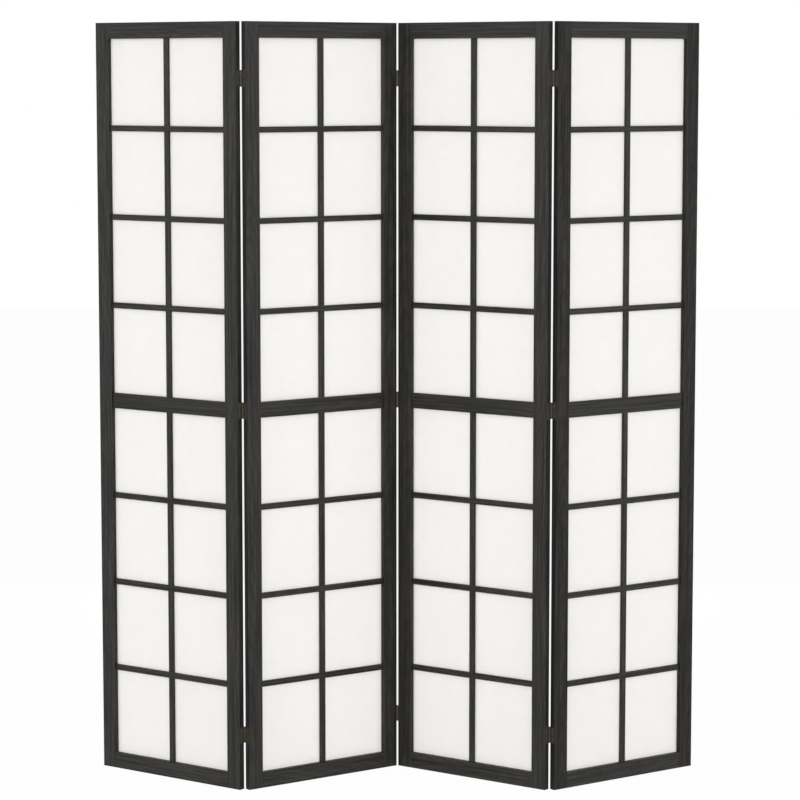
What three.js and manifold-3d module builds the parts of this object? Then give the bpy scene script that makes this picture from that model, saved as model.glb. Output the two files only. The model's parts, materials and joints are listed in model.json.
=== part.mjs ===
// Four-panel shoji folding screen, in millimetres, +Z up, its front towards -Y.
// Each panel is a stained wooden frame that holds one sheet of paper between two wooden lattices.
// The panels stand in a zigzag, and three butt hinges let into the stile edges join each fold.
// The origin is at the middle of the footprint, on the floor.

import * as THREE from 'three';
import { mergeVertices } from 'three/addons/utils/BufferGeometryUtils.js';
import Module from 'manifold-3d';

// ---- The panel frame ----
const SCREEN_HEIGHT = 1790;
const PANEL_WIDTH = 423.5;
const FRAME_THICKNESS = 16;
const STILE_WIDTH = 38;
const RAIL_HEIGHT = 37.5;
const EDGE_EASING = 0.6; // every long edge of the wood is planed off by this much
const END_EASING = 0.5; // the ends of the stiles are eased a little less

// ---- The rail tenons, blind in the stiles ----
const TENON_LENGTH = 20;
const TENON_THICKNESS = 6;
const TENON_SHOULDER = 7; // wood left above and below each tenon

// ---- The lattices, the middle rails and the paper between them ----
const MUNTIN_WIDTH = 13.5;
const FRONT_MUNTIN_RECESS = 4.2; // from the frame's front face back to the front muntins' face
const BACK_MUNTIN_RECESS = 1.2; // the back lattice is thinner and lies nearer its face
const MID_RAIL_HEIGHT = 36.5;
const FRONT_RAIL_RECESS = 2.9;
const BACK_RAIL_RECESS = 0.6;
const ROWS_PER_HALF = 4; // rows of panes above the middle rail, and as many below it
const STUB_LENGTH = 5; // how far muntins and middle rails are let into the frame
const PAPER_THICKNESS = 0.6;
const PAPER_DEPTH = 11.1; // from the frame's front face to the middle of the paper
const PAPER_GROOVE_DEPTH = 4.5;

// ---- The butt hinges ----
const HINGE_HEIGHT = 38;
const HINGE_INSET = 130; // from the screen's top or bottom to the middle of the outer hinges
const LEAF_THICKNESS = 1;
const LEAF_COVER = 13.6; // how much of the stile's edge a leaf covers
const PIN_RADIUS = 1.1;
const PIN_PROUD = 1; // the pin's axis stands this far off the frame's face
const KNUCKLES = 5; // three on the leaf that holds the pin, two on the other
const SCREW_HOLE_RADIUS = 1.6;
const SCREW_SPACING = 21;

// ---- How the screen stands ----
const PANEL_SPLAY = 35.5; // degrees between each panel and the screen's length

const CLEARANCE = 0.3; // between any two pieces that fit together
const OVERCUT = 0.5; // how far a cutter runs past the face it opens on
const KNUCKLE_SIDES = 12;
const HOLE_SIDES = 8;

// ---- Sizes that follow from those above ----
const openingWidth = PANEL_WIDTH - 2 * STILE_WIDTH;
const midHeight = SCREEN_HEIGHT / 2;
const midDepth = FRAME_THICKNESS / 2;
const knuckleRadius = PIN_RADIUS + CLEARANCE + LEAF_THICKNESS;
const panelGap = 2 * (knuckleRadius - LEAF_THICKNESS);
const leafReach = LEAF_COVER + PIN_PROUD;

// The lattice on each side of the paper. Depths are measured from the frame's face on that side,
// and paperSide is the depth of the lattice's face next to the paper.
const frontSide = {
  muntinRecess: FRONT_MUNTIN_RECESS,
  railRecess: FRONT_RAIL_RECESS,
  paperSide: PAPER_DEPTH - PAPER_THICKNESS / 2 - CLEARANCE,
};
const backSide = {
  muntinRecess: BACK_MUNTIN_RECESS,
  railRecess: BACK_RAIL_RECESS,
  paperSide: FRAME_THICKNESS - PAPER_DEPTH - PAPER_THICKNESS / 2 - CLEARANCE,
};

const hingeHeights = {
  bottom: HINGE_INSET,
  middle: midHeight,
  top: SCREEN_HEIGHT - HINGE_INSET,
};

// Muntin centres that share each half of the opening into equal rows.
const muntinHeights = [];
for (let row = 1; row < ROWS_PER_HALF; row += 1) {
  const rise = (row * (midHeight - MID_RAIL_HEIGHT / 2 - RAIL_HEIGHT)) / ROWS_PER_HALF;
  muntinHeights.push(RAIL_HEIGHT + rise, SCREEN_HEIGHT - RAIL_HEIGHT - rise);
}

// ---- Solids ----
const wasm = await Module();
wasm.setup();

// A closed geometry as a solid that can be joined and cut.
function solidOf(geometry) {
  geometry.deleteAttribute('normal');
  geometry.deleteAttribute('uv');
  const merged = mergeVertices(geometry);
  return new wasm.Manifold(new wasm.Mesh({
    numProp: 3,
    vertProperties: Float32Array.from(merged.attributes.position.array),
    triVerts: Uint32Array.from(merged.index.array),
  }));
}

// A solid as a geometry again.
function geometryOf(solid) {
  const { vertProperties, triVerts } = solid.getMesh();
  const geometry = new THREE.BufferGeometry();
  geometry.setAttribute('position', new THREE.BufferAttribute(vertProperties, 3));
  geometry.setIndex(new THREE.BufferAttribute(triVerts, 1));
  geometry.computeVertexNormals();
  return geometry;
}

// The span of a given width about a middle.
function about(middle, width) {
  return [middle - width / 2, middle + width / 2];
}

// A span made longer at both ends.
function grown([from, to], by) {
  return [from - by, to + by];
}

// A square-edged block, given by its span along each axis.
function block(x, y, z) {
  const geometry = new THREE.BoxGeometry(x[1] - x[0], y[1] - y[0], z[1] - z[0]);
  geometry.translate((x[0] + x[1]) / 2, (y[0] + y[1]) / 2, (z[0] + z[1]) / 2);
  return solidOf(geometry);
}

// A bar's section, from its show face at low Y to its back. The long edges of the show face are
// eased, and so are those of the back where both faces show.
function easedSection(x, y, bothFaces) {
  const ease = EDGE_EASING;
  const front = [[x[0], y[0] + ease], [x[0] + ease, y[0]], [x[1] - ease, y[0]], [x[1], y[0] + ease]];
  const squareBack = [[x[1], y[1]], [x[0], y[1]]];
  const easedBack = [[x[1], y[1] - ease], [x[1] - ease, y[1]], [x[0] + ease, y[1]], [x[0], y[1] - ease]];
  const corners = [...front, ...(bothFaces ? easedBack : squareBack)];
  return new THREE.Shape(corners.map(([px, py]) => new THREE.Vector2(px, py)));
}

// A wooden bar that runs along Z: its width spans X and its thickness spans Y.
function barGeometry(width, thickness, run, bothFaces, endEasing) {
  const geometry = new THREE.ExtrudeGeometry(easedSection(width, thickness, bothFaces), {
    depth: run[1] - run[0] - 2 * endEasing,
    bevelEnabled: endEasing > 0,
    bevelThickness: endEasing,
    bevelSize: endEasing,
    bevelOffset: -endEasing,
    bevelSegments: 1,
  });
  return geometry.translate(0, 0, run[0] + endEasing);
}

function uprightBar(width, thickness, run, bothFaces = false, endEasing = 0) {
  return solidOf(barGeometry(width, thickness, run, bothFaces, endEasing));
}

// The same bar laid along X, with its width along Z.
function levelBar(run, thickness, width, bothFaces = false) {
  const upright = barGeometry([-width[1], -width[0]], thickness, run, bothFaces, 0);
  return solidOf(upright.rotateY(Math.PI / 2));
}

// A round bar about the Z axis.
function roundBar(radius, z) {
  const geometry = new THREE.CylinderGeometry(radius, radius, z[1] - z[0], KNUCKLE_SIDES);
  geometry.rotateX(Math.PI / 2);
  geometry.translate(0, 0, (z[0] + z[1]) / 2);
  return solidOf(geometry);
}

// The same span of depth measured from the other face of the frame.
function fromOtherFace([from, to]) {
  return [FRAME_THICKNESS - to, FRAME_THICKNESS - from];
}

// The span of depth over which muntins, or the middle rail, are let into the frame on one side.
function socketDepth(side, recess) {
  return grown([recess, side.paperSide], CLEARANCE);
}

// ---- Materials ----
function stainedWood() {
  return new THREE.MeshStandardMaterial({ color: '#3c3b38', roughness: 0.6, metalness: 0 });
}

function shojiPaper() {
  return new THREE.MeshStandardMaterial({ color: '#f2f2ef', roughness: 0.9, metalness: 0 });
}

function antiqueBronze() {
  return new THREE.MeshStandardMaterial({ color: '#4a4338', roughness: 0.45, metalness: 0.8 });
}

function named(name, geometry, material) {
  const mesh = new THREE.Mesh(geometry, material);
  mesh.name = name;
  return mesh;
}

// ---- The pieces of a panel ----

// A stile in its own frame: X from its outer edge to its inner edge, Y through its thickness.
// low and high are the sides of the screen that it shows at low and at high Y. pinSide is -1 or 1
// where hinge pins stand off its face at low or high Y, and 0 on a free edge.
function stileGeometry(pinSide, low, high) {
  const thickness = [0, FRAME_THICKNESS];
  let stile = uprightBar([0, STILE_WIDTH], thickness, [0, SCREEN_HEIGHT], true, END_EASING);
  const innerFace = STILE_WIDTH + OVERCUT;

  // A blind mortise for each rail's tenon.
  const tenonSpan = [TENON_SHOULDER - CLEARANCE, RAIL_HEIGHT - TENON_SHOULDER + CLEARANCE];
  const mortiseX = [STILE_WIDTH - TENON_LENGTH - CLEARANCE, innerFace];
  const mortiseY = about(midDepth, TENON_THICKNESS + 2 * CLEARANCE);
  stile = stile.subtract(block(mortiseX, mortiseY, tenonSpan));
  stile = stile.subtract(block(mortiseX, mortiseY, [
    SCREEN_HEIGHT - tenonSpan[1],
    SCREEN_HEIGHT - tenonSpan[0],
  ]));

  // A groove for the paper's edge.
  const grooveX = [STILE_WIDTH - PAPER_GROOVE_DEPTH, innerFace];
  const grooveY = [low.paperSide, FRAME_THICKNESS - high.paperSide];
  const opening = [RAIL_HEIGHT, SCREEN_HEIGHT - RAIL_HEIGHT];
  stile = stile.subtract(block(grooveX, grooveY, grown(opening, PAPER_GROOVE_DEPTH)));

  // A socket for the end of each muntin and middle rail, on both sides of the paper.
  const socketX = [STILE_WIDTH - STUB_LENGTH - CLEARANCE, innerFace];
  const sockets = muntinHeights.map((height) => [height, MUNTIN_WIDTH, 'muntinRecess']);
  sockets.push([midHeight, MID_RAIL_HEIGHT, 'railRecess']);
  for (const [height, width, recess] of sockets) {
    const lowY = socketDepth(low, low[recess]);
    const highY = fromOtherFace(socketDepth(high, high[recess]));
    const socketZ = about(height, width + 2 * CLEARANCE);
    stile = stile.subtract(block(socketX, lowY, socketZ));
    stile = stile.subtract(block(socketX, highY, socketZ));
  }

  // A gain for each hinge leaf, open at the face where the knuckles stand.
  const gainY = [-OVERCUT, LEAF_COVER + CLEARANCE];
  const gainX = [-OVERCUT, LEAF_THICKNESS + CLEARANCE];
  for (const height of pinSide === 0 ? [] : Object.values(hingeHeights)) {
    const gainZ = about(height, HINGE_HEIGHT + 2 * CLEARANCE);
    stile = stile.subtract(block(gainX, pinSide < 0 ? gainY : fromOtherFace(gainY), gainZ));
  }
  return geometryOf(stile);
}

// A top or bottom rail in its own frame: X across the opening, Z from its outer to its inner edge.
function railGeometry() {
  const between = [CLEARANCE, openingWidth - CLEARANCE];
  let rail = levelBar(between, [0, FRAME_THICKNESS], [0, RAIL_HEIGHT], true);

  // A stub tenon at each end, in one length with the rail.
  rail = rail.add(block(
    [-TENON_LENGTH, openingWidth + TENON_LENGTH],
    about(midDepth, TENON_THICKNESS),
    [TENON_SHOULDER, RAIL_HEIGHT - TENON_SHOULDER],
  ));

  // A groove for the paper's edge, and two sockets for the ends of the upright muntins.
  const innerFace = RAIL_HEIGHT + OVERCUT;
  const grooveY = [frontSide.paperSide, FRAME_THICKNESS - backSide.paperSide];
  const grooveX = grown([0, openingWidth], TENON_LENGTH);
  rail = rail.subtract(block(grooveX, grooveY, [RAIL_HEIGHT - PAPER_GROOVE_DEPTH, innerFace]));
  const socketX = about(openingWidth / 2, MUNTIN_WIDTH + 2 * CLEARANCE);
  const frontY = socketDepth(frontSide, FRONT_MUNTIN_RECESS);
  const backY = fromOtherFace(socketDepth(backSide, BACK_MUNTIN_RECESS));
  const socketZ = [RAIL_HEIGHT - STUB_LENGTH - CLEARANCE, innerFace];
  rail = rail.subtract(block(socketX, frontY, socketZ));
  rail = rail.subtract(block(socketX, backY, socketZ));
  return geometryOf(rail);
}

// A lattice in its own frame: X across the opening, Y from its show face towards the paper.
// One upright muntin and the level ones are half-lapped flush and glued, so they are one piece.
function latticeGeometry(side) {
  const depth = [0, side.paperSide - side.muntinRecess];
  const uprightX = about(openingWidth / 2, MUNTIN_WIDTH);
  const fullHeight = grown([RAIL_HEIGHT, SCREEN_HEIGHT - RAIL_HEIGHT], STUB_LENGTH);
  let lattice = uprightBar(uprightX, depth, fullHeight);
  for (const height of muntinHeights) {
    const fullWidth = grown([0, openingWidth], STUB_LENGTH);
    lattice = lattice.add(levelBar(fullWidth, depth, about(height, MUNTIN_WIDTH)));
  }

  // The half lap in which the middle rail crosses the upright muntin.
  const lapY = [-OVERCUT, depth[1] / 2 + CLEARANCE];
  const lapZ = about(midHeight, MID_RAIL_HEIGHT + 2 * CLEARANCE);
  return geometryOf(lattice.subtract(block(grown(uprightX, OVERCUT), lapY, lapZ)));
}

// A middle rail in its own frame: X across the opening, Y from its show face towards the paper.
function midRailGeometry(side) {
  const fullWidth = grown([0, openingWidth], STUB_LENGTH);
  const thickness = side.paperSide - side.railRecess;
  const rail = levelBar(fullWidth, [0, thickness], about(0, MID_RAIL_HEIGHT));
  const lapX = about(openingWidth / 2, MUNTIN_WIDTH + 2 * CLEARANCE);
  const lapY = [thickness - (side.paperSide - side.muntinRecess) / 2, thickness + OVERCUT];
  return geometryOf(rail.subtract(block(lapX, lapY, about(0, MID_RAIL_HEIGHT + 2 * OVERCUT))));
}

// The paper, cut to reach into the grooves on all four sides.
function paperGeometry() {
  const margin = 2 * (PAPER_GROOVE_DEPTH - CLEARANCE);
  const height = SCREEN_HEIGHT - 2 * RAIL_HEIGHT + margin;
  return new THREE.BoxGeometry(openingWidth + margin, PAPER_THICKNESS, height);
}

// A whole panel: X from its left edge, Y from its front face. leftPin and rightPin are -1 where
// the hinge pins of that edge stand off the front, 1 off the back, and 0 where the edge is free.
function panel(number, leftPin, rightPin) {
  const group = new THREE.Group();
  const right = PANEL_WIDTH - STILE_WIDTH;
  const add = (name, geometry, material, x, y, z) => {
    const mesh = named(`panel${number}_${name}`, geometry, material);
    mesh.position.set(x, y, z);
    group.add(mesh);
    return mesh;
  };

  const leftStile = stileGeometry(leftPin, frontSide, backSide);
  add('left_stile', leftStile, stainedWood(), 0, 0, 0);
  const rightStile = stileGeometry(-rightPin, backSide, frontSide);
  add('right_stile', rightStile, stainedWood(), PANEL_WIDTH, FRAME_THICKNESS, 0).rotation.z = Math.PI;
  add('bottom_rail', railGeometry(), stainedWood(), STILE_WIDTH, 0, 0);
  add('top_rail', railGeometry(), stainedWood(), right, 0, SCREEN_HEIGHT).rotation.y = Math.PI;

  const frontLattice = latticeGeometry(frontSide);
  add('lattice_front', frontLattice, stainedWood(), STILE_WIDTH, FRONT_MUNTIN_RECESS, 0);
  const backLattice = latticeGeometry(backSide);
  const latticeY = FRAME_THICKNESS - BACK_MUNTIN_RECESS;
  add('lattice_back', backLattice, stainedWood(), right, latticeY, 0).rotation.z = Math.PI;
  const frontRail = midRailGeometry(frontSide);
  add('mid_rail_front', frontRail, stainedWood(), STILE_WIDTH, FRONT_RAIL_RECESS, midHeight);
  const backRail = midRailGeometry(backSide);
  const railY = FRAME_THICKNESS - BACK_RAIL_RECESS;
  add('mid_rail_back', backRail, stainedWood(), right, railY, midHeight).rotation.z = Math.PI;
  add('paper', paperGeometry(), shojiPaper(), PANEL_WIDTH / 2, PAPER_DEPTH, midHeight);
  return group;
}

// ---- The hinges ----

// A hinge leaf about its pin's axis: the plate lies at low X and reaches towards -Y.
// Knuckles count up from 0 at the bottom. The pin leaf has the even ones, with the pin riveted in
// them, and the free leaf has the odd ones, bored to turn on the pin.
function hingeLeafGeometry(holdsPin) {
  const height = about(0, HINGE_HEIGHT);
  const plateX = [-panelGap / 2 - LEAF_THICKNESS, -panelGap / 2];
  let leaf = block(plateX, [-leafReach, 0], height);
  const pitch = (HINGE_HEIGHT + CLEARANCE) / KNUCKLES;
  for (let index = 0; index < KNUCKLES; index += 1) {
    const bottom = height[0] + index * pitch;
    const knuckle = [bottom, bottom + pitch - CLEARANCE];
    if ((index % 2 === 0) === holdsPin) {
      leaf = leaf.add(roundBar(knuckleRadius, knuckle));
    } else {
      const notchY = [-knuckleRadius - CLEARANCE, OVERCUT];
      leaf = leaf.subtract(block(grown(plateX, OVERCUT), notchY, grown(knuckle, CLEARANCE)));
    }
  }
  if (holdsPin) {
    leaf = leaf.add(roundBar(PIN_RADIUS, height));
  } else {
    leaf = leaf.subtract(roundBar(PIN_RADIUS + CLEARANCE, grown(height, OVERCUT)));
  }

  // Countersunk screw holes, as wide at the open face as the plate's thickness allows.
  const holeY = -(leafReach + knuckleRadius + CLEARANCE) / 2;
  for (const z of about(0, SCREW_SPACING)) {
    const narrow = SCREW_HOLE_RADIUS - OVERCUT;
    const wide = SCREW_HOLE_RADIUS + LEAF_THICKNESS + OVERCUT;
    const depth = LEAF_THICKNESS + 2 * OVERCUT;
    const cone = new THREE.CylinderGeometry(narrow, wide, depth, HOLE_SIDES);
    cone.rotateZ(Math.PI / 2);
    cone.translate((plateX[0] + plateX[1]) / 2, holeY, z);
    leaf = leaf.subtract(solidOf(cone));
  }
  return geometryOf(leaf);
}

// The place of a hinge pin in a panel's frame. edge is -1 at its left edge and 1 at its right.
function pinPlace(edge, pinSide) {
  const x = edge < 0 ? -panelGap / 2 : PANEL_WIDTH + panelGap / 2;
  const y = pinSide < 0 ? -PIN_PROUD : FRAME_THICKNESS + PIN_PROUD;
  return new THREE.Vector3(x, y, 0);
}

// Adds the three leaves that a panel carries along one edge.
function addLeaves(group, fold, edge, pinSide) {
  const holdsPin = edge > 0;
  const kind = holdsPin ? 'pin_leaf' : 'free_leaf';
  for (const [where, height] of Object.entries(hingeHeights)) {
    const leaf = named(`hinge${fold}_${where}_${kind}`, hingeLeafGeometry(holdsPin), antiqueBronze());
    leaf.position.copy(pinPlace(edge, pinSide));
    leaf.position.z = height;
    if (edge < 0 && pinSide > 0) {
      leaf.rotation.y = Math.PI;
    } else if (edge > 0 && pinSide < 0) {
      leaf.rotation.x = Math.PI;
    } else if (edge < 0) {
      leaf.rotation.z = Math.PI;
    }
    group.add(leaf);
  }
}

// Hangs one panel on another at the pins of a fold, turned about them by an angle in degrees.
function hang(child, childEdge, parent, pinSide, angle) {
  const pivot = new THREE.Group();
  pivot.position.copy(pinPlace(-childEdge, pinSide));
  pivot.rotation.z = THREE.MathUtils.degToRad(angle);
  child.position.copy(pinPlace(childEdge, pinSide)).negate();
  pivot.add(child);
  parent.add(pivot);
}

// ---- The screen ----
const LEFT = -1;
const RIGHT = 1;
const FRONT = -1;
const FREE = 0;
const BACK = 1;

const panel1 = panel(1, FREE, BACK);
const panel2 = panel(2, BACK, FRONT);
const panel3 = panel(3, FRONT, BACK);
const panel4 = panel(4, BACK, FREE);

addLeaves(panel1, '12', RIGHT, BACK);
addLeaves(panel2, '12', LEFT, BACK);
addLeaves(panel2, '23', RIGHT, FRONT);
addLeaves(panel3, '23', LEFT, FRONT);
addLeaves(panel3, '34', RIGHT, BACK);
addLeaves(panel4, '34', LEFT, BACK);

panel2.rotation.z = THREE.MathUtils.degToRad(PANEL_SPLAY);
hang(panel1, RIGHT, panel2, BACK, -2 * PANEL_SPLAY);
hang(panel3, LEFT, panel2, FRONT, -2 * PANEL_SPLAY);
hang(panel4, LEFT, panel3, BACK, 2 * PANEL_SPLAY);

const screen = new THREE.Group();
screen.add(panel2);

// The origin goes to the middle of the footprint.
const footprint = new THREE.Box3().setFromObject(screen, true).getCenter(new THREE.Vector3());
screen.position.set(-footprint.x, -footprint.y, 0);

export default screen;
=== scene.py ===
import json

import bmesh
import bpy
import numpy as np
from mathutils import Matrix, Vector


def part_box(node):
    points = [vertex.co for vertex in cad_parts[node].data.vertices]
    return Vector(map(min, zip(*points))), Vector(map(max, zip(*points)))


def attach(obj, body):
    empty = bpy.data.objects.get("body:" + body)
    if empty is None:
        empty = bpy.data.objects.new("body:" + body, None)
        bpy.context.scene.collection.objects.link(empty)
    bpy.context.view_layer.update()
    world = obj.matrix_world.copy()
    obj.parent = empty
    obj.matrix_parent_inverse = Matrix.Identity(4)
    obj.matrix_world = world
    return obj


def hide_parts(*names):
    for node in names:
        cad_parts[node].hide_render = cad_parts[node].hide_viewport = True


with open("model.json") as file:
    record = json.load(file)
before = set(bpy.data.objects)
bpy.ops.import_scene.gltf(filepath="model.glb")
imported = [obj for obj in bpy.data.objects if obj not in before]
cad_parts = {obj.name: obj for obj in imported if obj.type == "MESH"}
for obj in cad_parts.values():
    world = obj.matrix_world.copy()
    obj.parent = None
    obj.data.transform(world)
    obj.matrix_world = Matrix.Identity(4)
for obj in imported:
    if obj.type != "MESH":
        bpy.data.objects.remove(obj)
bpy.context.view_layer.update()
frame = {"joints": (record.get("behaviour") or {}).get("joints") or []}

# ---- Stiles ----
# Each panel stands on two uprights of planed softwood. Their long edges are eased, and a shallow
# gain is cut for every hinge leaf in the edge that meets the next panel. All the wood is stained
# black, so that the grain only shows as faint streaks, and has a thin satin lacquer.

MM = 0.001
SCREEN_HEIGHT = 1790.0
PANEL_WIDTH = 423.5
FRAME_THICKNESS = 16.0
STILE_WIDTH = 38.0
EDGE_EASING = 0.6
END_EASING = 0.5
PAPER_DEPTH = 11.1
SPLAY = np.radians(35.5)
HEADING = {1: -SPLAY, 2: SPLAY, 3: -SPLAY, 4: SPLAY}
LEAF_COVER = 13.6
LEAF_FIT = 0.15
# A cut's wall spreads over this distance on each side of its mark.
WALL_SPREAD = 0.01
# Points closer than this are one point.
MERGE_WITHIN = 0.0004
GAIN_DEPTH = 1.05
HINGE_HEIGHT = 38.0
HINGE_CENTRES = (130.0, 895.0, 1660.0)
# The face off which the hinge pins of an edge stand, at the front or at the back of the panel.
PIN_FACE = {(1, "right"): "back", (2, "left"): "back", (2, "right"): "front",
            (3, "left"): "front", (3, "right"): "back", (4, "left"): "back"}

chance = np.random.default_rng(1790)


def stand_in_panel(number, points):
    """World places in metres of points (s, t, z) in millimetres: s along the panel from its left
    edge, t back from its front face, z up. The panel is turned by its heading about its middle,
    which lies in front of the middle of its paper by the paper's offset from mid-thickness."""
    low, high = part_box(f"panel{number}_paper")
    along = np.array([np.cos(HEADING[number]), np.sin(HEADING[number])])
    back = np.array([-np.sin(HEADING[number]), np.cos(HEADING[number])])
    middle = np.array([(low.x + high.x) / 2, (low.y + high.y) / 2])
    middle = middle - (PAPER_DEPTH - FRAME_THICKNESS / 2) * MM * back
    s, t, z = np.moveaxis(np.asarray(points, float), -1, 0)
    across = (s - PANEL_WIDTH / 2)[..., None] * along + (t - FRAME_THICKNESS / 2)[..., None] * back
    return np.concatenate([middle + across * MM, z[..., None] * MM], axis=-1)


def eased_outline(width, thickness, ease, side_marks=()):
    """Points and outward normals round a bar's section: a rectangle whose corners are quarter
    circles of radius ease. A support point just inside each flat keeps it shaded flat, and each
    side mark gives a pair of points that far from the front on both narrow sides."""
    support = min(0.35, 0.2 * thickness)
    turn = np.linspace(0, np.pi / 2, 6)
    corners = np.array([[0, 0], [width, 0], [width, thickness], [0, thickness]])
    points, normals = [], []
    for quarter in range(4):
        angle = np.pi * (1 + quarter / 2) + turn
        out = np.stack([np.cos(angle), np.sin(angle)], axis=1)
        inward = np.sign([width / 2, thickness / 2] - corners[quarter])
        points.append(corners[quarter] + ease * (inward + out))
        normals.append(out)
        heading = np.array([[1, 0], [0, 1], [-1, 0], [0, -1]][quarter])
        length = (width, thickness)[quarter % 2]
        marks = [m + d for m in side_marks for d in (-WALL_SPREAD, WALL_SPREAD)]
        marks = marks if quarter % 2 else []
        marks = marks if quarter == 1 else [length - m for m in marks]
        along = np.array(sorted([ease + support, length - ease - support, *marks]))
        points.append(corners[quarter] + along[:, None] * heading)
        normals.append(np.tile([heading[1], -heading[0]], (len(along), 1)))
    return np.concatenate(points), np.concatenate(normals)


def bar(width, thickness, run, ease, end_ease=0.0, cuts=(), run_marks=(), side_marks=()):
    """A bar as a grid of rows along its run, each row going round its section: a across the
    width, b back from the show face, c along the run. Near an eased end the section shrinks as
    e (1 - sin u) while the row moves in by e (1 - cos u), and one more row beyond it keeps the
    flats shaded flat. Each cut then pushes the points inside it back to its floor. Returns arrays
    a, b, c of shape (rows, points)."""
    outline, normals = eased_outline(width, thickness, ease, side_marks)
    turn = np.linspace(0, np.pi / 2, 5) if end_ease else np.array([np.pi / 2])
    shrink = end_ease * (1 - np.sin(turn))
    inset = end_ease * (1 - np.cos(turn))
    marks = [m + d for m in run_marks for d in (-WALL_SPREAD, WALL_SPREAD)]
    if end_ease:
        marks += [run[0] + 2 * end_ease, run[1] - 2 * end_ease]
    marks.sort()
    c = np.concatenate([run[0] + inset, marks, run[1] - inset[::-1]])
    shrink = np.concatenate([shrink, np.zeros(len(marks)), shrink[::-1]])
    section = outline[None] - shrink[:, None, None] * normals[None]
    a, b = section[..., 0], section[..., 1]
    c = np.broadcast_to(c[:, None], a.shape)
    for cut in cuts:
        a, b = cut(a, b, c)
    return a, b, c


def wrap(rows, points):
    """Faces of a closed tube of rows by points, with one flat face over each end."""
    i, j = np.meshgrid(np.arange(rows - 1), np.arange(points), indexing="ij")
    k = (j + 1) % points
    quads = np.stack([i * points + j, i * points + k, (i + 1) * points + k, (i + 1) * points + j], -1)
    ends = [np.arange(points)[::-1].tolist(), ((rows - 1) * points + np.arange(points)).tolist()]
    return quads.reshape(-1, 4).tolist() + ends


def make_piece(name, shells, body, node, material, sharp=35.0):
    """One object from closed shells (world points in metres, faces, grain places). Points that a
    cut has brought together are merged, and edges that turn more than sharp stay crisp."""
    mesh = bpy.data.meshes.new(name)
    places = np.concatenate([points for points, faces, grain in shells])
    starts = np.cumsum([0] + [len(points) for points, faces, grain in shells])
    faces = [[start + v for v in face] for start, shell in zip(starts, shells) for face in shell[1]]
    mesh.from_pydata(places, [], faces)
    along_grain = mesh.attributes.new("grain", "FLOAT_VECTOR", "POINT")
    along_grain.data.foreach_set("vector", np.concatenate([s[2] for s in shells]).ravel())
    form = bmesh.new()
    form.from_mesh(mesh)
    bmesh.ops.remove_doubles(form, verts=form.verts, dist=MERGE_WITHIN * MM)
    bmesh.ops.dissolve_degenerate(form, edges=form.edges, dist=MERGE_WITHIN * MM)
    bmesh.ops.recalc_face_normals(form, faces=form.faces)
    form.to_mesh(mesh)
    form.free()
    mesh.polygons.foreach_set("use_smooth", np.ones(len(mesh.polygons), bool))
    mesh.set_sharp_from_angle(angle=np.radians(sharp))
    mesh.materials.append(material)
    piece = bpy.data.objects.new(name, mesh)
    bpy.context.scene.collection.objects.link(piece)
    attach(piece, body)
    if node:
        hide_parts(node)
    return piece


def wooden_shell(number, surface, place):
    """A closed shell of a bar in a panel. place turns (a, b, c) into (s, t, z). The grain runs
    along c and each bar is cut from another part of the board."""
    a, b, c = surface
    points = stand_in_panel(number, np.stack(place(a, b, c), axis=-1))
    cut_from = chance.uniform((-0.5, -0.03, 0.015), (0.5, 0.03, 0.06))
    grain = np.stack([c, a, b], axis=-1) * MM + cut_from
    return points.reshape(-1, 3), wrap(*a.shape), grain.reshape(-1, 3)


def add(tree, kind, **inputs):
    """A node of that kind, with its inputs either set or linked from another node's socket."""
    node = tree.nodes.new(kind)
    for key, value in inputs.items():
        if hasattr(node, key):
            setattr(node, key, value)
            continue
        name = key.replace("_", " ")
        socket = node.inputs[int(key[1:])] if key[1:].isdigit() else node.inputs[name]
        if isinstance(value, bpy.types.NodeSocket):
            tree.links.new(value, socket)
        else:
            socket.default_value = value
    return node


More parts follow.
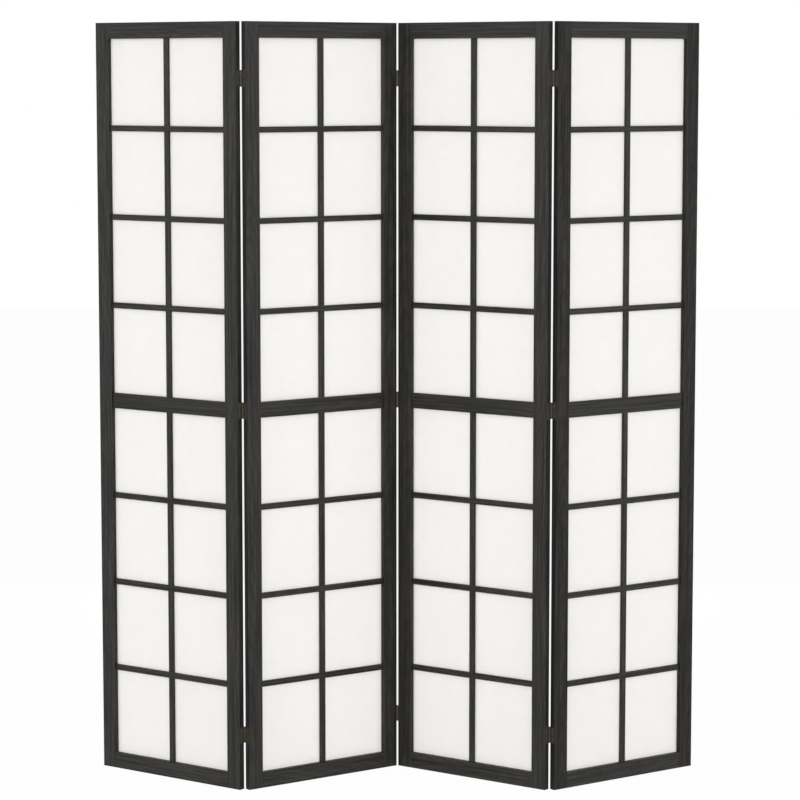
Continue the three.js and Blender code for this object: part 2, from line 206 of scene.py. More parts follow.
def softwood_grain():
    """A node group for flat-sawn softwood. Rings are the whole part of the distance from the
    pith, which runs a little askew to the board, so that arches show on its face. Streaks and
    pores are noise drawn out along the grain."""
    group = bpy.data.node_groups.new("softwood_grain", "ShaderNodeTree")
    group.interface.new_socket("Place", in_out="INPUT", socket_type="NodeSocketVector")
    group.interface.new_socket("Rings", in_out="OUTPUT", socket_type="NodeSocketFloat")
    group.interface.new_socket("Streaks", in_out="OUTPUT", socket_type="NodeSocketFloat")
    group.interface.new_socket("Pores", in_out="OUTPUT", socket_type="NodeSocketFloat")
    entry = group.nodes.new("NodeGroupInput").outputs["Place"]
    leave = group.nodes.new("NodeGroupOutput")

    split = add(group, "ShaderNodeSeparateXYZ", Vector=entry)
    bend = add(group, "ShaderNodeVectorMath", operation="MULTIPLY", i0=entry, i1=(2.2, 14, 14))
    wander = add(group, "ShaderNodeTexNoise", Vector=bend.outputs[0], Scale=1.0, Detail=2.0)
    askew = add(group, "ShaderNodeMath", operation="MULTIPLY_ADD", i0=split.outputs[0], i1=0.055,
                i2=split.outputs[2])
    ring_place = add(group, "ShaderNodeCombineXYZ", i1=split.outputs[1], i2=askew.outputs[0])
    from_pith = add(group, "ShaderNodeVectorMath", operation="LENGTH", i0=ring_place.outputs[0])
    waved = add(group, "ShaderNodeMath", operation="MULTIPLY_ADD", i0=wander.outputs[0], i1=0.016,
                i2=from_pith.outputs["Value"])
    counted = add(group, "ShaderNodeMath", operation="MULTIPLY", i0=waved.outputs[0], i1=300.0)
    part = add(group, "ShaderNodeMath", operation="FRACT", i0=counted.outputs[0])
    ring = add(group, "ShaderNodeMapRange", interpolation_type="SMOOTHSTEP", Value=part.outputs[0],
               From_Min=0.35, From_Max=0.97)
    group.links.new(ring.outputs[0], leave.inputs["Rings"])

    drawn = add(group, "ShaderNodeVectorMath", operation="MULTIPLY", i0=entry, i1=(5, 210, 210))
    streak = add(group, "ShaderNodeTexNoise", Vector=drawn.outputs[0], Scale=1.0, Detail=5.0,
                 Roughness=0.66)
    spread = add(group, "ShaderNodeMapRange", Value=streak.outputs[0], From_Min=0.38, From_Max=0.62)
    group.links.new(spread.outputs[0], leave.inputs["Streaks"])

    fine = add(group, "ShaderNodeVectorMath", operation="MULTIPLY", i0=entry, i1=(55, 2600, 2600))
    pore = add(group, "ShaderNodeTexNoise", Vector=fine.outputs[0], Scale=1.0, Detail=2.0)
    open_pore = add(group, "ShaderNodeMapRange", Value=pore.outputs[0], From_Min=0.4, From_Max=0.62)
    group.links.new(open_pore.outputs[0], leave.inputs["Pores"])
    return group


def stained_black(name, grain, gloss):
    """Black-stained softwood under satin lacquer: the stain is deeper on the late wood of each
    ring, and the open pores stay darker and a little sunk. In the streaks the wood drinks less,
    so the stain is thinner and the lacquer shines more. gloss multiplies that shine."""
    material = bpy.data.materials.new(name)
    material.use_nodes = True
    tree = material.node_tree
    finish = tree.nodes["Principled BSDF"]
    place = add(tree, "ShaderNodeAttribute", attribute_name="grain")
    wood = tree.nodes.new("ShaderNodeGroup")
    wood.node_tree = grain
    tree.links.new(place.outputs["Vector"], wood.inputs["Place"])
    streaked = add(tree, "ShaderNodeMix", data_type="RGBA", i0=wood.outputs["Streaks"],
                   i6=(0.0050, 0.0045, 0.0033, 1), i7=(0.0280, 0.0258, 0.0212, 1))
    late = add(tree, "ShaderNodeMath", operation="MULTIPLY", i0=wood.outputs["Rings"], i1=0.55)
    ringed = add(tree, "ShaderNodeMix", data_type="RGBA", i0=late.outputs[0],
                 i6=streaked.outputs[2], i7=(0.0044, 0.0040, 0.0032, 1))
    sunk = add(tree, "ShaderNodeMath", operation="MULTIPLY", i0=wood.outputs["Pores"], i1=0.22)
    pored = add(tree, "ShaderNodeMix", data_type="RGBA", i0=sunk.outputs[0],
                i6=ringed.outputs[2], i7=(0.003, 0.003, 0.003, 1))
    tree.links.new(pored.outputs[2], finish.inputs["Base Color"])
    rough = add(tree, "ShaderNodeMapRange", Value=wood.outputs["Streaks"], To_Min=0.44, To_Max=0.60)
    tree.links.new(rough.outputs[0], finish.inputs["Roughness"])
    raised = add(tree, "ShaderNodeMath", operation="MULTIPLY_ADD", i0=wood.outputs["Pores"], i1=-0.6,
                 i2=wood.outputs["Rings"])
    relief = add(tree, "ShaderNodeBump", Height=raised.outputs[0], Strength=0.35, Distance=0.00006)
    tree.links.new(relief.outputs[0], finish.inputs["Normal"])
    shine = add(tree, "ShaderNodeMapRange", Value=wood.outputs["Streaks"], To_Min=0.24 * gloss,
                To_Max=0.39 * gloss)
    tree.links.new(shine.outputs[0], finish.inputs["Specular IOR Level"])
    return material


def gain_cuts(pin_face):
    """The gains along a stile's hinged edge: within a leaf's height and cover, the outer edge is
    sunk to the gain's depth, and the gain runs out at the face off which the pins stand."""
    cover = LEAF_COVER + LEAF_FIT

    def cut(a, b, c):
        covered = b < cover if pin_face == "front" else b > FRAME_THICKNESS - cover
        near = [np.abs(c - height) < HINGE_HEIGHT / 2 + LEAF_FIT for height in HINGE_CENTRES]
        return np.where(covered & np.any(near, axis=0), np.maximum(a, GAIN_DEPTH), a), b

    side_mark = cover if pin_face == "front" else FRAME_THICKNESS - cover
    run_marks = [h + d * (HINGE_HEIGHT / 2 + LEAF_FIT) for h in HINGE_CENTRES for d in (-1, 1)]
    return {"cuts": [cut], "side_marks": [side_mark], "run_marks": run_marks}


softwood = softwood_grain()
stained_wood = stained_black("stained_wood", softwood, 1.03)
# The stiles of the right-hand panel get a copy of the wood with less shine, painted shade that darkens
# them.
painted_shade_wood = stained_black("stained_wood_painted_shade", softwood, 0.64)
for number in range(1, 5):
    # Panel 4's stiles take the copy with painted shade.
    stile_wood = painted_shade_wood if number == 4 else stained_wood
    for edge in ("left", "right"):
        gains = gain_cuts(PIN_FACE[number, edge]) if (number, edge) in PIN_FACE else {}
        surface = bar(STILE_WIDTH, FRAME_THICKNESS, (0, SCREEN_HEIGHT), EDGE_EASING, END_EASING, **gains)
        if edge == "left":
            shell = wooden_shell(number, surface, lambda a, b, c: (a, b, c))
        else:
            shell = wooden_shell(number, surface, lambda a, b, c: (PANEL_WIDTH - a, b, c))
        make_piece(f"stile_{number}_{edge}", [shell], f"panel_{number}",
                   f"panel{number}_{edge}_stile", stile_wood)

# ---- Top and bottom rails ----
# A rail closes each end of the frame, flush with the stiles on both faces. Its tenons are blind in
# the stiles, so only a fine joint line shows where its ends butt against them.

RAIL_HEIGHT = 37.5
JOINT_LINE = 0.06
RAIL_END_EASING = 0.3

for number in range(1, 5):
    for where, outer in (("bottom", 0.0), ("top", SCREEN_HEIGHT - RAIL_HEIGHT)):
        run = (STILE_WIDTH + JOINT_LINE, PANEL_WIDTH - STILE_WIDTH - JOINT_LINE)
        surface = bar(RAIL_HEIGHT, FRAME_THICKNESS, run, EDGE_EASING, RAIL_END_EASING)
        shell = wooden_shell(number, surface, lambda a, b, c: (c, b, outer + a))
        make_piece(f"rail_{number}_{where}", [shell], f"panel_{number}",
                   f"panel{number}_{where}_rail", stained_wood)

# ---- Lattices ----
# On each side of the paper one upright muntin crosses six level ones. They are half-lapped, with
# the level ones whole on the show face, glued, and let into the frame at their ends. The back
# lattice is thinner and lies nearer the back face.

MUNTIN_WIDTH = 13.5
MUNTIN_EASING = 0.45
MID_RAIL_HEIGHT = 36.5
ROWS_PER_HALF = 4
LET_IN = 0.4
LAP_LINE = 0.05
PAPER_THICKNESS = 0.25
PAPER_FACE = PAPER_DEPTH - PAPER_THICKNESS / 2 - 0.02
# How far the muntins' and the middle rail's show faces lie behind the frame's face on each side.
MUNTIN_RECESS = {"front": 4.2, "back": 1.2}
MID_RAIL_RECESS = {"front": 2.9, "back": 0.6}
PAPER_SIDE = {"front": PAPER_FACE, "back": FRAME_THICKNESS - PAPER_FACE - PAPER_THICKNESS - 0.04}

row_rise = (SCREEN_HEIGHT / 2 - MID_RAIL_HEIGHT / 2 - RAIL_HEIGHT) / ROWS_PER_HALF
rises = np.arange(1, ROWS_PER_HALF) * row_rise
muntin_heights = np.concatenate([RAIL_HEIGHT + rises, SCREEN_HEIGHT - RAIL_HEIGHT - rises])


def from_face(side, recess, b):
    """Depth t in the panel of a point b behind a show face that lies recess behind the frame's
    face on that side."""
    return recess + b if side == "front" else FRAME_THICKNESS - recess - b


def notch(middle, reach, floor, from_show_face):
    """A cut across a bar's whole width over reach on both sides of middle: on the show face's
    side every point is pushed back to floor, or else every point behind floor comes up to it."""
    def cut(a, b, c):
        inside = np.abs(c - middle) < reach
        return a, np.where(inside, np.maximum(b, floor) if from_show_face else np.minimum(b, floor), b)
    return cut


def lattice_shells(number, side):
    """The upright muntin, notched from its show face, and the level ones, notched from behind."""
    recess = MUNTIN_RECESS[side]
    thickness = PAPER_SIDE[side] - recess
    half = thickness / 2
    reach = MUNTIN_WIDTH / 2 + LAP_LINE
    crossings = [(height, reach) for height in muntin_heights]
    crossings.append((SCREEN_HEIGHT / 2, MID_RAIL_HEIGHT / 2 + LAP_LINE))
    cuts = [notch(middle, over, half, True) for middle, over in crossings]
    marks = [middle + d * over for middle, over in crossings for d in (-1, 1)]
    run = (RAIL_HEIGHT - LET_IN, SCREEN_HEIGHT - RAIL_HEIGHT + LET_IN)
    upright = bar(MUNTIN_WIDTH, thickness, run, MUNTIN_EASING, 0, cuts, marks, [half])
    left = PANEL_WIDTH / 2 - MUNTIN_WIDTH / 2
    shells = [wooden_shell(number, upright, lambda a, b, c: (left + a, from_face(side, recess, b), c))]
    across = (STILE_WIDTH - LET_IN, PANEL_WIDTH - STILE_WIDTH + LET_IN)
    lap = notch(PANEL_WIDTH / 2, reach, half - 0.02, False)
    lap_marks = [PANEL_WIDTH / 2 - reach, PANEL_WIDTH / 2 + reach]
    for height in muntin_heights:
        low = height - MUNTIN_WIDTH / 2
        level = bar(MUNTIN_WIDTH, thickness, across, MUNTIN_EASING, 0, [lap], lap_marks, [half - 0.02])
        shells.append(wooden_shell(
            number, level, lambda a, b, c: (c, from_face(side, recess, b), low + a)))
    return shells


for number in range(1, 5):
    for side in ("front", "back"):
        make_piece(f"lattice_{number}_{side}", lattice_shells(number, side),
                   f"panel_{number}", f"panel{number}_lattice_{side}", stained_wood)

# ---- Middle rails ----
# A wider slat crosses the opening at mid-height on each side of the paper. It stands a little
# proud of the muntins, and laps over the upright one.

MID_RAIL_EASING = 0.5

for number in range(1, 5):
    for side in ("front", "back"):
        recess = MID_RAIL_RECESS[side]
        thickness = PAPER_SIDE[side] - recess
        floor = thickness - (PAPER_SIDE[side] - MUNTIN_RECESS[side]) / 2 - 0.02
        reach = MUNTIN_WIDTH / 2 + LAP_LINE
        lap_marks = [PANEL_WIDTH / 2 - reach, PANEL_WIDTH / 2 + reach]
        across = (STILE_WIDTH - LET_IN, PANEL_WIDTH - STILE_WIDTH + LET_IN)
        surface = bar(MID_RAIL_HEIGHT, thickness, across, min(MID_RAIL_EASING, 0.28 * thickness), 0,
                      [notch(PANEL_WIDTH / 2, reach, floor, False)], lap_marks, [floor])
        low = SCREEN_HEIGHT / 2 - MID_RAIL_HEIGHT / 2
        shell = wooden_shell(number, surface, lambda a, b, c: (c, from_face(side, recess, b), low + a))
        make_piece(f"mid_rail_{number}_{side}", [shell], f"panel_{number}",
                   f"panel{number}_mid_rail_{side}", stained_wood)

# ---- Papers ----
# One sheet of white fibre paper fills each panel. It is glued between the two lattices, with its
# edges in grooves of the frame, and shrinks tight as it dries, but each pane stays a little bowed.

GROOVE_DEPTH = 4.2
PANE_BOW = 0.35
PASSING_SHARE = 0.5  # of the light that falls on either face


def fibre_paper():
    """White paper with long fibres: faint cloudy thickness and thin threads that catch light."""
    material = bpy.data.materials.new("shoji_paper")
    material.use_nodes = True
    tree = material.node_tree
    finish = tree.nodes["Principled BSDF"]
    place = add(tree, "ShaderNodeTexCoord")
    cloud = add(tree, "ShaderNodeTexNoise", Vector=place.outputs["Object"], Scale=45.0, Detail=5.0)
    warp = add(tree, "ShaderNodeTexNoise", Vector=place.outputs["Object"], Scale=38.0, Detail=3.0)
    moved = add(tree, "ShaderNodeVectorMath", operation="MULTIPLY_ADD", i0=warp.outputs["Color"],
                i1=(0.03, 0.03, 0.03), i2=place.outputs["Object"])
    thread = add(tree, "ShaderNodeTexVoronoi", Vector=moved.outputs[0], Scale=95.0,
                 feature="DISTANCE_TO_EDGE")
    fibre = add(tree, "ShaderNodeMapRange", Value=thread.outputs["Distance"], From_Min=0.0,
                From_Max=0.045, To_Min=1.0, To_Max=0.0)
    pale = add(tree, "ShaderNodeMix", data_type="RGBA", i0=cloud.outputs[0],
               i6=(0.878, 0.870, 0.860, 1), i7=(0.914, 0.906, 0.896, 1))
    faint = add(tree, "ShaderNodeMath", operation="MULTIPLY", i0=fibre.outputs[0], i1=0.25)
    fibred = add(tree, "ShaderNodeMix", data_type="RGBA", i0=faint.outputs[0],
                 i6=pale.outputs[2], i7=(0.95, 0.94, 0.925, 1))
    tree.links.new(fibred.outputs[2], finish.inputs["Base Color"])
    relief = add(tree, "ShaderNodeBump", Height=fibre.outputs[0], Strength=0.2, Distance=0.00003)
    tree.links.new(relief.outputs[0], finish.inputs["Normal"])
    finish.inputs["Roughness"].default_value = 0.9
    finish.inputs["Specular IOR Level"].default_value = 0.2
    passing = add(tree, "ShaderNodeBsdfTranslucent", Color=fibred.outputs[2])
    tree.links.new(relief.outputs[0], passing.inputs["Normal"])
    thin = add(tree, "ShaderNodeMixShader", i0=PASSING_SHARE, i1=finish.outputs[0],
               i2=passing.outputs[0])
    tree.links.new(thin.outputs[0], tree.nodes["Material Output"].inputs["Surface"])
    return material


def paper_shell(number):
    """Both faces of a sheet over a grid of s and z. Its middle is PAPER_DEPTH plus the bow of
    each pane, A sin(pi u) sin(pi v) with u and v from 0 to 1 across the pane and A its own."""
    left, right = STILE_WIDTH - GROOVE_DEPTH, PANEL_WIDTH - STILE_WIDTH + GROOVE_DEPTH
    bottom, top = RAIL_HEIGHT - GROOVE_DEPTH, SCREEN_HEIGHT - RAIL_HEIGHT + GROOVE_DEPTH
    half = MUNTIN_WIDTH / 2
    bars_s = [(left, STILE_WIDTH), (PANEL_WIDTH / 2 - half, PANEL_WIDTH / 2 + half),
              (PANEL_WIDTH - STILE_WIDTH, right)]
    level = [(h - half, h + half) for h in sorted(muntin_heights)]
    middle = (SCREEN_HEIGHT / 2 - MID_RAIL_HEIGHT / 2, SCREEN_HEIGHT / 2 + MID_RAIL_HEIGHT / 2)
    bars_z = sorted([(bottom, RAIL_HEIGHT), *level, middle, (SCREEN_HEIGHT - RAIL_HEIGHT, top)])

    def lines(bars):
        """Grid lines: the edges of every bar, and steps across the pane after it."""
        places, shares, panes = [], [], []
        for index, (start, end) in enumerate(bars):
            places += [start, end]
            shares += [0.0, 0.0]
            panes += [index, index]
            if index + 1 < len(bars):
                u = np.linspace(0, 1, 13)[1:-1]
                places += list(end + u * (bars[index + 1][0] - end))
                shares += list(u)
                panes += [index] * len(u)
        return np.array(places), np.array(shares), np.array(panes)

    s, u, column = lines(bars_s)
    z, v, row = lines(bars_z)
    bows = PANE_BOW * chance.uniform(-1, 1, (len(bars_s), len(bars_z)))
    bow = bows[column[:, None], row[None]] * np.sin(np.pi * u)[:, None] * np.sin(np.pi * v)[None]
    grid_s, grid_z = np.broadcast_arrays(s[:, None], z[None])
    points = []
    for depth in (-PAPER_THICKNESS / 2, PAPER_THICKNESS / 2):
        layer = np.stack([grid_s, PAPER_DEPTH + bow + depth, grid_z], axis=-1)
        points.append(stand_in_panel(number, layer).reshape(-1, 3))
    rows, columns = grid_s.shape
    i, j = np.meshgrid(np.arange(rows - 1), np.arange(columns - 1), indexing="ij")
    first = i * columns + j
    quads = np.stack([first, first + columns, first + columns + 1, first + 1], -1).reshape(-1, 4)
    rim = np.concatenate([np.arange(columns), columns * np.arange(1, rows) + columns - 1,
                          rows * columns - 2 - np.arange(columns - 1),
                          columns * np.arange(rows - 2, 0, -1)])
    after = np.roll(rim, -1)
    count = rows * columns
    walls = np.stack([rim, after, after + count, rim + count], -1)
    faces = quads.tolist() + (quads[:, ::-1] + count).tolist() + walls.tolist()
    places = np.concatenate(points)
    return places, faces, places


shoji_paper = fibre_paper()
for number in range(1, 5):
    piece = make_piece(f"paper_{number}", [paper_shell(number)], f"panel_{number}",
                       f"panel{number}_paper", shoji_paper)

# ---- Hinge leaves ----
# Three butt hinges join each fold. A leaf is a pressed plate of bronzed brass with its knuckles
# rolled from the same sheet. The pin is riveted in the three knuckles of one leaf, and the other
# leaf's two turn on it. The plates lie in the stiles' gains, with the barrel just off their face.

LEAF_THICKNESS = 1.0
PIN_RADIUS = 1.1
BORE_RADIUS = 1.4
BARREL_RADIUS = BORE_RADIUS + LEAF_THICKNESS
PIN_PROUD = 1.0
PANEL_GAP = 2 * BORE_RADIUS
LEAF_REACH = LEAF_COVER + PIN_PROUD
KNUCKLES = 5
KNUCKLE_PLAY = 0.12
HOLE_RADIUS = 1.2
SINK_RADIUS = 2.6
PLATE_EASING = 0.18
PLATE_END_EASING = 0.15
NOTCH_PLAY = 0.17
STRIP_EASING = 0.16
ROLL_ANGLE = np.radians(302)
OVERCUT = 0.6
PIN_DOME = 0.35
SCREW_SPACING = 21.0
SCREW_LINE = -(LEAF_REACH + BARREL_RADIUS) / 2


def speckle():
    """A node group for a browned metal surface: broad clouds, and small spots of deeper tone."""
    group = bpy.data.node_groups.new("browned_speckle", "ShaderNodeTree")
    group.interface.new_socket("Place", in_out="INPUT", socket_type="NodeSocketVector")
    group.interface.new_socket("Clouds", in_out="OUTPUT", socket_type="NodeSocketFloat")
    group.interface.new_socket("Spots", in_out="OUTPUT", socket_type="NodeSocketFloat")
    entry = group.nodes.new("NodeGroupInput").outputs["Place"]
    leave = group.nodes.new("NodeGroupOutput")
    cloud = add(group, "ShaderNodeTexNoise", Vector=entry, Scale=260.0, Detail=5.0, Roughness=0.6)
    group.links.new(cloud.outputs[0], leave.inputs["Clouds"])
    spot = add(group, "ShaderNodeTexNoise", Vector=entry, Scale=1700.0, Detail=3.0)
    marked = add(group, "ShaderNodeMapRange", Value=spot.outputs[0], From_Min=0.52, From_Max=0.68)
    group.links.new(marked.outputs[0], leave.inputs["Spots"])
    return group


def browned(name, dark, bright, group):
    """Brass browned chemically and waxed: the metal is darkest in its spots and clouds."""
    material = bpy.data.materials.new(name)
    material.use_nodes = True
    tree = material.node_tree
    finish = tree.nodes["Principled BSDF"]
    place = add(tree, "ShaderNodeTexCoord")
    marks = tree.nodes.new("ShaderNodeGroup")
    marks.node_tree = group
    tree.links.new(place.outputs["Object"], marks.inputs["Place"])
    spread = add(tree, "ShaderNodeMapRange", Value=marks.outputs["Clouds"], From_Min=0.35,
                 From_Max=0.65)
    clouded = add(tree, "ShaderNodeMix", data_type="RGBA", i0=spread.outputs[0],
                  i6=(*dark, 1), i7=(*bright, 1))
    deep = add(tree, "ShaderNodeMath", operation="MULTIPLY", i0=marks.outputs["Spots"], i1=0.5)
    spotted = add(tree, "ShaderNodeMix", data_type="RGBA", i0=deep.outputs[0],
                  i6=clouded.outputs[2], i7=tuple(0.5 * v for v in dark) + (1,))
    tree.links.new(spotted.outputs[2], finish.inputs["Base Color"])
    rough = add(tree, "ShaderNodeMapRange", Value=marks.outputs["Clouds"], To_Min=0.55, To_Max=0.72)
    tree.links.new(rough.outputs[0], finish.inputs["Roughness"])
    relief = add(tree, "ShaderNodeBump", Height=marks.outputs["Spots"], Strength=0.25,
                 Distance=0.00004)
    tree.links.new(relief.outputs[0], finish.inputs["Normal"])
    finish.inputs["Metallic"].default_value = 0.65
    return material


def plate_shell(left_out):
    """A plate with eased edges between y = -LEAF_REACH and the pin's axis, as a tube along z.
    Over each span left out, its edge near the pin is pushed back to clear the other knuckle."""
    clear = -np.sqrt(BARREL_RADIUS ** 2 - (PANEL_GAP / 2) ** 2) - KNUCKLE_PLAY
    near = [(low - NOTCH_PLAY, high + NOTCH_PLAY) for low, high in left_out]

    def cut(a, b, c):
        inside = np.any([(c > low) & (c < high) for low, high in near], axis=0)
        return np.where(inside, np.minimum(a, LEAF_REACH + clear), a), b

    low, high = -HINGE_HEIGHT / 2, HINGE_HEIGHT / 2
    marks = [m for span in near for m in span if low + 0.3 < m < high - 0.3]
    a, b, c = bar(LEAF_REACH, LEAF_THICKNESS, (low, high), PLATE_EASING, PLATE_END_EASING, [cut],
                  marks)
    x = -PANEL_GAP / 2 - b
    return np.stack([x, a - LEAF_REACH, c], axis=-1).reshape(-1, 3), wrap(*a.shape)


def knuckle_shell(low, high):
    """A knuckle as sheet metal rolled round the pin: a short strip, as wide as the knuckle is
    long and as thick as the leaf, goes straight to the height of the axis and on round it by the
    roll angle, where its end all but meets the strip again. Rows follow that path, round each
    row the strip's corners are eased, and the first row is 5% smaller to lie in the plate."""
    turn = np.linspace(0, ROLL_ANGLE, 45)
    mid = BORE_RADIUS + LEAF_THICKNESS / 2
    path = np.stack([-mid * np.cos(turn), mid * np.sin(turn)], axis=1)
    out = np.stack([-np.cos(turn), np.sin(turn)], axis=1)
    start = np.array([[-mid, -0.8], [-mid, -0.1]])
    path = np.concatenate([start, path])
    out = np.concatenate([np.tile([-1.0, 0.0], (2, 1)), out])
    section, _ = eased_outline(high - low, LEAF_THICKNESS, STRIP_EASING)
    size = np.where(np.arange(len(path)) == 0, 0.95, 1.0)[:, None]
    across = size * (section[:, 1] - LEAF_THICKNESS / 2)
    flat = path[:, None] + across[..., None] * out[:, None]
    z = (low + high) / 2 + size * (section[:, 0] - (high - low) / 2)
    points = np.concatenate([flat, z[..., None]], axis=-1)
    return points.reshape(-1, 3), wrap(*z.shape)


def turned_shell(profile, steps=32):
    """A shape turned about the z axis from a profile of (radius, height) points that starts and
    ends near the axis, with a flat face over each end."""
    angle = np.linspace(0, 2 * np.pi, steps, endpoint=False)
    radius, height = np.asarray(profile, float).T
    x = radius[:, None] * np.cos(angle)
    y = radius[:, None] * np.sin(angle)
    z = np.broadcast_to(height[:, None], x.shape)
    return np.stack([x, y, z], axis=-1).reshape(-1, 3), wrap(*x.shape)


def solid(name, shell):
    """A plain object from one closed shell, its faces turned outwards."""
    mesh = bpy.data.meshes.new(name)
    mesh.from_pydata(shell[0], [], shell[1])
    form = bmesh.new()
    form.from_mesh(mesh)
    bmesh.ops.remove_doubles(form, verts=form.verts, dist=MERGE_WITHIN)
    bmesh.ops.dissolve_degenerate(form, edges=form.edges, dist=MERGE_WITHIN)
    bmesh.ops.recalc_face_normals(form, faces=form.faces)
    form.to_mesh(mesh)
    form.free()
    made = bpy.data.objects.new(name, mesh)
    bpy.context.scene.collection.objects.link(made)
    return made


def leaf_form(holds_pin):
    """One leaf about its pin's axis, in millimetres: the plate joined to its rolled knuckles,
    with two countersunk holes. Knuckles count up from the bottom, even ones on the pin leaf."""
    pitch = (HINGE_HEIGHT + KNUCKLE_PLAY) / KNUCKLES
    spans = [(-HINGE_HEIGHT / 2 + i * pitch, -HINGE_HEIGHT / 2 + (i + 1) * pitch - KNUCKLE_PLAY)
             for i in range(KNUCKLES)]
    own = [span for i, span in enumerate(spans) if (i % 2 == 0) == holds_pin]
    others = [span for i, span in enumerate(spans) if (i % 2 == 0) != holds_pin]
    leaf = solid("leaf_form", plate_shell(others))
    tools = [(solid("knuckle_tool", knuckle_shell(*span)), "UNION") for span in own]
    for z in (-SCREW_SPACING / 2, SCREW_SPACING / 2):
        sink = [(HOLE_RADIUS, -OVERCUT), (HOLE_RADIUS, 0.0), (SINK_RADIUS, LEAF_THICKNESS),
                (SINK_RADIUS, LEAF_THICKNESS + OVERCUT)]
        points, faces = turned_shell(sink, 24)
        x = points[:, 2] - PANEL_GAP / 2 - LEAF_THICKNESS
        moved = np.stack([x, points[:, 1] + SCREW_LINE, points[:, 0] + z], axis=-1)
        tools.append((solid("hole_tool", (moved, faces)), "DIFFERENCE"))
    for tool, operation in tools:
        step = leaf.modifiers.new("shape", "BOOLEAN")
        step.operation, step.solver, step.object = operation, "EXACT", tool
    ready = bpy.data.meshes.new_from_object(leaf.evaluated_get(bpy.context.evaluated_depsgraph_get()))
    points = np.zeros(len(ready.vertices) * 3)
    ready.vertices.foreach_get("co", points)
    faces = [list(face.vertices) for face in ready.polygons]
    for made in [leaf] + [tool for tool, operation in tools]:
        bpy.data.objects.remove(made)
    return points.reshape(-1, 3), faces


def pin_shell():
    """The pin: a rod with a low dome riveted over at each end of the barrel."""
    end = HINGE_HEIGHT / 2
    dome = np.linspace(0, np.pi / 2, 6)
    top = [(PIN_RADIUS * np.cos(u) + 0.02, end - PIN_DOME + PIN_DOME * np.sin(u)) for u in dome]
    bottom = [(r, -z) for r, z in reversed(top)]
    return turned_shell(bottom + top)


def hang_leaf(points, fold_place, height, edge, pin_face):
    """World places in metres of points given about the pin's axis, where the plate lies at low x
    and reaches towards low y. A leaf on a right edge with pins at the back stands as drawn; the
    others are the same leaf turned end for end, upside down, or both."""
    x, y, z = np.asarray(points, float).T
    if edge == "left" and pin_face == "back":
        x, z = -x, -z
    elif edge == "right" and pin_face == "front":
        y, z = -y, -z
    elif edge == "left":
        x, y = -x, -y
    angle = HEADING[fold_place[0]]
    turned = np.stack([x * np.cos(angle) - y * np.sin(angle), x * np.sin(angle) + y * np.cos(angle), z])
    return turned.T * MM + np.array([fold_place[1], fold_place[2], height * MM])


browned_speckle = speckle()
hinge_bronze = browned("hinge_bronze", (0.058, 0.054, 0.040), (0.101, 0.093, 0.069), browned_speckle)
leaf_forms = {True: leaf_form(True), False: leaf_form(False)}
for joint in frame["joints"]:
    fold = joint["name"].split("_")[1]
    pin_x, pin_y = joint["pos_m"][:2]
    for number, edge in ((int(fold[0]), "right"), (int(fold[1]), "left")):
        kind = "pin" if edge == "right" else "free"
        pin_face = PIN_FACE[number, edge]
        for where, height in zip(("bottom", "middle", "top"), HINGE_CENTRES):
            shells = [leaf_forms[kind == "pin"]]
            if kind == "pin":
                shells.append(pin_shell())
            placed = [(hang_leaf(points, (number, pin_x, pin_y), height, edge, pin_face), faces)
                      for points, faces in shells]
            leaf = make_piece(f"leaf_{fold}_{where}_{kind}", [(p, f, p) for p, f in placed],
                              f"panel_{number}", f"hinge{fold}_{where}_{kind}_leaf",
                              hinge_bronze)
            # The large flat faces stay evenly shaded beside the small eased ones.
            even = leaf.modifiers.new("flat_plates", "WEIGHTED_NORMAL")
            even.mode, even.keep_sharp = "FACE_AREA", True

# ---- Hinge screws ----
# Two countersunk wood screws with a cross recess hold each leaf in its gain, flush with the plate.

SLOT_HALF_WIDTH = 0.36
SLOT_REACH = 1.45
SLOT_DEPTH = 0.55
SLOT_TURN = 0.6


def screw_shell(z):
    """A countersunk screw head, seen as a disc with a cross recess: on a polar grid the face is
    low by the recess where |p| or |q| is under half the slot's width and the radius is under the
    slot's reach. Its cone and short shank go down into the wood."""
    rings = np.concatenate([np.linspace(0.05, 1.6, 13), [1.9, 2.2, 2.4, 2.46, 2.42, 1.3, 1.3]])
    level = np.concatenate([np.full(13, -0.12), [-0.12, -0.13, -0.15, -0.19, -0.26, -1.35, -4.0]])
    angle = np.linspace(0, 2 * np.pi, 64, endpoint=False) + SLOT_TURN
    p = rings[:, None] * np.cos(angle)
    q = rings[:, None] * np.sin(angle)
    arm = np.minimum(np.abs(p), np.abs(q))
    reach = np.maximum(np.abs(p), np.abs(q))
    sunk = np.clip((SLOT_HALF_WIDTH - arm) / 0.1, 0, 1) * np.clip((SLOT_REACH - reach) / 0.25, 0, 1)
    face = np.arange(len(rings)) < 14
    x = level[:, None] - SLOT_DEPTH * sunk * face[:, None]
    points = np.stack([x - PANEL_GAP / 2, p + SCREW_LINE, q + z], axis=-1)
    return points.reshape(-1, 3), wrap(*p.shape)


screw_bronze = browned("screw_bronze", (0.080, 0.073, 0.060), (0.145, 0.132, 0.110), browned_speckle)
for joint in frame["joints"]:
    fold = joint["name"].split("_")[1]
    pin_x, pin_y = joint["pos_m"][:2]
    for number, edge in ((int(fold[0]), "right"), (int(fold[1]), "left")):
        kind = "pin" if edge == "right" else "free"
        for where, height in zip(("bottom", "middle", "top"), HINGE_CENTRES):
            shells = []
            for z in (-SCREW_SPACING / 2, SCREW_SPACING / 2):
                points, faces = screw_shell(z)
                placed = hang_leaf(points, (number, pin_x, pin_y), height, edge,
                                   PIN_FACE[number, edge])
                shells.append((placed, faces, placed))
            make_piece(f"screws_{fold}_{where}_{kind}", shells, f"panel_{number}",
                       None, screw_bronze)

# ---- Floor ----
# The screen stands on a plain white floor, which shows only the screen's soft shadow.

FLOOR_HALF = 14.0

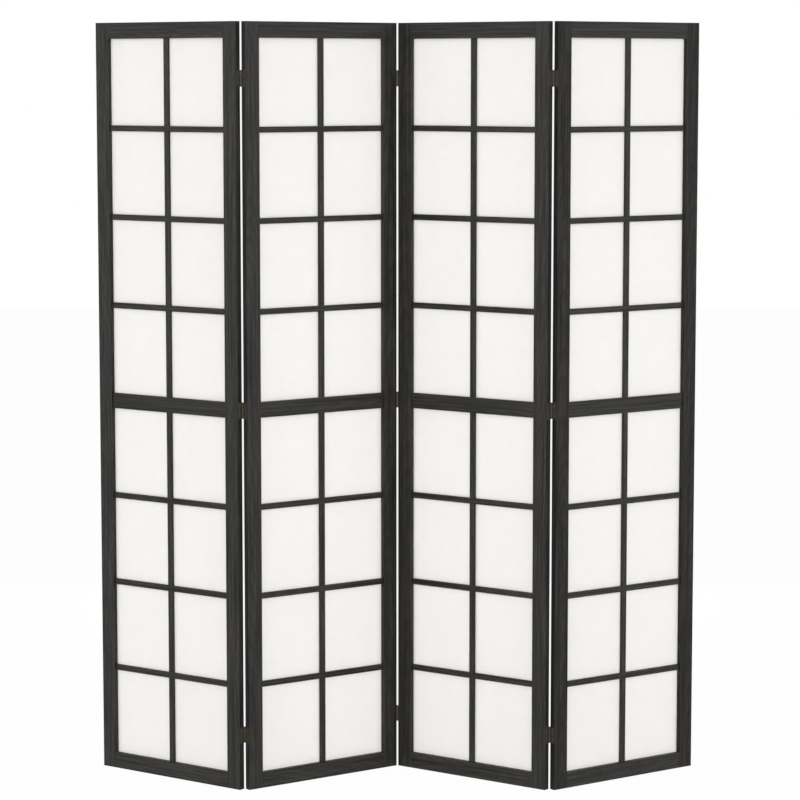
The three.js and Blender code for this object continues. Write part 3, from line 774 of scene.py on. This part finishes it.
floor_mesh = bpy.data.meshes.new("floor")
corner = FLOOR_HALF * np.array([[-1, -1, 0], [1, -1, 0], [1, 1, 0], [-1, 1, 0]])
floor_mesh.from_pydata(corner - [0, 0, 0.0005], [], [[0, 1, 2, 3]])
floor = bpy.data.objects.new("floor", floor_mesh)
bpy.context.scene.collection.objects.link(floor)
floor_white = bpy.data.materials.new("floor_white")
floor_white.use_nodes = True
tree = floor_white.node_tree
tree.nodes.clear()
matt = add(tree, "ShaderNodeBsdfDiffuse", Color=(0.9, 0.9, 0.9, 1))
glow = add(tree, "ShaderNodeEmission", Color=(1, 1, 1, 1), Strength=1.0)
ray = add(tree, "ShaderNodeLightPath")
seen = add(tree, "ShaderNodeMath", operation="MAXIMUM", i0=ray.outputs["Is Camera Ray"],
           i1=ray.outputs["Is Glossy Ray"])
seen_through = add(tree, "ShaderNodeMath", operation="MAXIMUM", i0=seen.outputs[0],
                   i1=ray.outputs["Is Transmission Ray"])
share = add(tree, "ShaderNodeMath", operation="MULTIPLY", i0=seen_through.outputs[0], i1=0.97)
floor_mix = add(tree, "ShaderNodeMixShader", i0=share.outputs[0], i1=matt.outputs[0],
                i2=glow.outputs[0])
surface_out = add(tree, "ShaderNodeOutputMaterial")
tree.links.new(floor_mix.outputs[0], surface_out.inputs["Surface"])
floor_mesh.materials.append(floor_white)

# ---- Light ----
# Soft studio light: an even white surround, a large lamp above the camera, a weaker one at each
# side, and one low behind the screen, whose light comes through the papers.

SURROUND = 0.42

world = bpy.data.worlds.new("surround")
bpy.context.scene.world = world
world.use_nodes = True
tree = world.node_tree
tree.nodes.clear()
even = add(tree, "ShaderNodeBackground", Color=(1, 1, 1, 1), Strength=SURROUND)
white = add(tree, "ShaderNodeBackground", Color=(1, 1, 1, 1), Strength=1.0)
ray = add(tree, "ShaderNodeLightPath")
seen = add(tree, "ShaderNodeMath", operation="MAXIMUM", i0=ray.outputs["Is Camera Ray"],
           i1=ray.outputs["Is Glossy Ray"])
seen_through = add(tree, "ShaderNodeMath", operation="MAXIMUM", i0=seen.outputs[0],
                   i1=ray.outputs["Is Transmission Ray"])
world_mix = add(tree, "ShaderNodeMixShader", i0=seen_through.outputs[0], i1=even.outputs[0],
                i2=white.outputs[0])
world_out = add(tree, "ShaderNodeOutputWorld")
tree.links.new(world_mix.outputs[0], world_out.inputs["Surface"])


def soft_lamp(name, place, aim, size, power):
    """A square area lamp at a place in metres, facing the aim."""
    lamp = bpy.data.lights.new(name, "AREA")
    lamp.shape, lamp.size, lamp.energy = "SQUARE", size, power
    holder = bpy.data.objects.new(name, lamp)
    bpy.context.scene.collection.objects.link(holder)
    direction = np.array(aim, float) - np.array(place, float)
    holder.location = place
    holder.rotation_mode = "QUATERNION"
    holder.rotation_quaternion = Vector(direction).to_track_quat("-Z", "Y")
    return holder


soft_lamp("lamp_front", (0.0, -7.0, 2.6), (0, 0, 0.9), 3.0, 272)
soft_lamp("lamp_left", (-6.0, -2.6, 2.4), (0, 0, 0.9), 3.0, 47)
soft_lamp("lamp_right", (6.0, -2.6, 1.8), (0, 0, 0.9), 3.0, 51)
soft_lamp("lamp_back", (0.0, 2.7, 0.4), (0, 0, 0.6), 1.6, 50)

# ---- Camera ----
# Level with the upper panes, almost straight in front of the middle fold and tipped a little down.

CAMERA_SIDE = 22.3
CAMERA_DISTANCE = 6876.7
CAMERA_HEIGHT = 1664.75
CAMERA_PITCH = 0.11165
CAMERA_YAW = 0.00234
FOCAL_PIXELS = 2887.56
IMAGE_PIXELS = 800
SENSOR_WIDTH = 36.0

middle_pin = next(joint for joint in frame["joints"] if joint["name"] == "fold_23")
camera_data = bpy.data.cameras.new("camera")
camera_data.sensor_width = SENSOR_WIDTH
camera_data.lens = FOCAL_PIXELS * SENSOR_WIDTH / IMAGE_PIXELS
camera = bpy.data.objects.new("camera", camera_data)
bpy.context.scene.collection.objects.link(camera)
camera.location = (CAMERA_SIDE * MM, middle_pin["pos_m"][1] - CAMERA_DISTANCE * MM, CAMERA_HEIGHT * MM)
camera.rotation_euler = (np.pi / 2 - CAMERA_PITCH, 0, CAMERA_YAW)
camera_data.clip_end = 60
bpy.context.scene.camera = camera
bpy.context.scene.view_settings.view_transform = "Standard"
